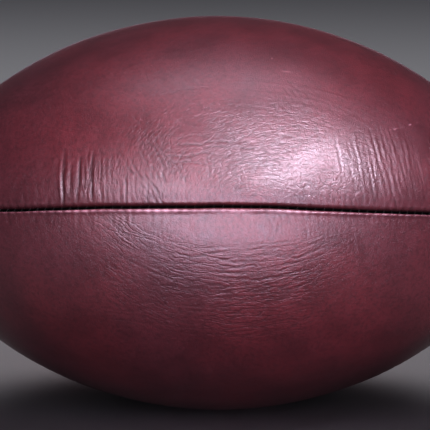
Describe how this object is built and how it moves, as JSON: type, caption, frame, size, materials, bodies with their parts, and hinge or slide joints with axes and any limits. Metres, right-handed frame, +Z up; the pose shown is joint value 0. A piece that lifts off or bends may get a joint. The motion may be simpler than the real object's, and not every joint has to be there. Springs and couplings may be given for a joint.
{
  "type": "rugby ball",
  "caption": "Oval ball of stitched oxblood leather panels over cloth linings and a rubber bladder, with a laced slit and a recessed valve.",
  "frame": {"origin": "on the plane the ball stands on, at the middle of its flat rest patch, under its centre", "axes": "+X along the ball's long axis, +Z up, -Y towards the side with the plain front seam, the laced seam is on the +Y side"},
  "size_m": [0.292, 0.1935, 0.1907],
  "materials": {
    "panel_leather": "satin",
    "lining_cloth": "matte",
    "seam_thread": "satin",
    "lace_leather": "satin",
    "bladder_rubber": "matte",
    "valve_rubber": "matte"
  },
  "bodies": {
    "root": {"panel_front_upper": "panel_leather", "panel_front_lower": "panel_leather", "panel_back_upper": "panel_leather", "panel_back_lower": "panel_leather", "lining_front_upper": "lining_cloth", "lining_front_lower": "lining_cloth", "lining_back_upper": "lining_cloth", "lining_back_lower": "lining_cloth", "seam_thread_front": "seam_thread", "seam_thread_top": "seam_thread", "seam_thread_bottom": "seam_thread", "seam_thread_back_left": "seam_thread", "seam_thread_back_right": "seam_thread", "lace": "lace_leather", "lace_tongue": "panel_leather", "lace_facing_upper": "panel_leather", "lace_facing_lower": "panel_leather", "bladder": "bladder_rubber", "valve_boot": "valve_rubber", "valve_plug": "valve_rubber"}
  },
  "joints": []
}
